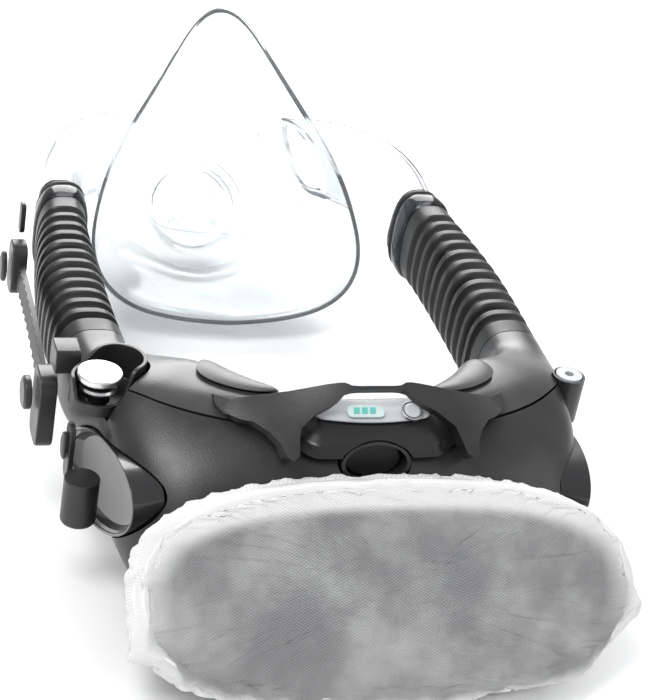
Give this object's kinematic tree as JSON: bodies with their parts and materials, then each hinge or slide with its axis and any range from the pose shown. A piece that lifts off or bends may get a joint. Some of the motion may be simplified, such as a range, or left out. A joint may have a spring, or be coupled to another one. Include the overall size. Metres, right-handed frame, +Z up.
{
  "type": "powered air respirator",
  "caption": "Neck-worn powered air respirator: arched blower housing with a covered oval filter, two bellows hoses and a clear half mask.",
  "frame": {"origin": "bottom centre of the bounding box, on the surface that the respirator lies on", "axes": "+Z up, +Y from the filter towards the mask, +X to the right of someone who looks from the filter towards the mask"},
  "size_m": [0.186, 0.3242, 0.1121],
  "materials": {
    "satin_black": "satin",
    "gloss_black": "glossy",
    "shell_grey": "satin",
    "rubber_black": "matte",
    "light_grey": "satin",
    "bright_steel": "brushed",
    "copper": "enamelled windings",
    "teal_display": "lit legend under a lens",
    "board_green": "lacquered board",
    "cell_wrap": "shrink sleeve",
    "clear_silicone": "clear and supple",
    "filter_fabric": "non-woven, embossed",
    "filter_paper": "pleated paper",
    "white_plastic": "satin"
  },
  "bodies": {
    "housing": {"back_shell": "satin_black", "battery_display": "teal_display", "battery_pack_left": "cell_wrap", "battery_pack_right": "cell_wrap", "bellows_left": "rubber_black", "bellows_right": "rubber_black", "blower_inlet_plate": "satin_black", "blower_volute": "satin_black", "button_bezel": "bright_steel", "charge_port_plug": "rubber_black", "charge_port_rim": "satin_black", "circuit_board": "board_green", "console_panel": "gloss_black", "filter_yoke": "satin_black", "harness_post_left": "satin_black", "harness_post_right": "satin_black", "intake_collar": "gloss_black", "keypad_panel": "light_grey", "lower_strap": "satin_black", "motor_bearing": "bright_steel", "motor_stator": "copper", "neck_pad_left": "light_grey", "neck_pad_right": "light_grey", "neck_shell": "shell_grey", "pivot_cup": "satin_black", "pivot_knob": "bright_steel", "port_spigot_left": "gloss_black", "port_spigot_right": "gloss_black", "post_cap_right": "light_grey", "side_cover_left": "gloss_black", "side_cover_right": "gloss_black", "spring_clip": "bright_steel", "strap_peg": "satin_black", "strap_stud": "satin_black"},
    "buckle_key": {"buckle_button": "satin_black"},
    "clip_key": {"clip_button": "satin_black"},
    "filter": {"cover_elastic": "filter_fabric", "filter_pleats": "filter_paper", "filter_retaining_ring": "white_plastic", "filter_tray": "white_plastic", "prefilter_cover": "filter_fabric"},
    "harness_arm": {"buckle_block": "satin_black", "link_block": "satin_black"},
    "fan": {"impeller": "white_plastic", "motor_shaft": "bright_steel"},
    "mask": {"clear_duct_left": "clear_silicone", "clear_duct_right": "clear_silicone", "face_seal": "clear_silicone", "front_cuff_left": "gloss_black", "front_cuff_right": "gloss_black", "mask_shell": "clear_silicone", "o_ring_left": "rubber_black", "o_ring_right": "rubber_black", "valve_guard": "clear_silicone", "valve_seat": "clear_silicone"},
    "power_key": {"power_button": "light_grey"},
    "harness_strap": {"clip_body": "satin_black", "clip_tab": "satin_black", "ladder_strap": "satin_black"},
    "flap": {"valve_flap": "clear_silicone"}
  },
  "joints": [
    {"name": "mask_tilt", "type": "hinge", "parent": "housing", "child": "mask", "pos_m": [0.0065, 0.01726, 0.04646], "axis": [1, 0, 0], "range_deg": [-8, 8], "deforming": ["bellows_left", "bellows_right"]},
    {"name": "valve_lift", "type": "slide", "parent": "mask", "child": "flap", "axis": [0, 0.7986, -0.6018], "range_m": [0, 0.0012], "stiffness_N_per_m": 20},
    {"name": "impeller_spin", "type": "hinge", "parent": "housing", "child": "fan", "pos_m": [0.0065, -0.11137, 0.02459], "axis": [0, -0.7986, 0.6018], "continuous": true},
    {"name": "power_press", "type": "slide", "parent": "housing", "child": "power_key", "axis": [-0.0153, 0.4246, -0.9053], "range_m": [0, 0.0005], "stiffness_N_per_m": 300},
    {"name": "harness_swing", "type": "hinge", "parent": "housing", "child": "harness_arm", "pos_m": [-0.0733, -0.06724, 0.06296], "axis": [0, 0, 1], "range_deg": [0, 22]},
    {"name": "strap_adjust", "type": "slide", "parent": "harness_arm", "child": "harness_strap", "axis": [0, 0.9928, 0.12], "range_m": [0, 0.012]},
    {"name": "buckle_press", "type": "slide", "parent": "harness_arm", "child": "buckle_key", "axis": [1, 0, 0], "range_m": [0, 0.001], "stiffness_N_per_m": 300},
    {"name": "clip_press", "type": "slide", "parent": "harness_strap", "child": "clip_key", "axis": [1, 0, 0], "range_m": [0, 0.0008], "stiffness_N_per_m": 300},
    {"name": "filter_release", "type": "slide", "parent": "housing", "child": "filter", "axis": [0, -0.7986, 0.6018], "range_m": [0, 0.02]}
  ]
}
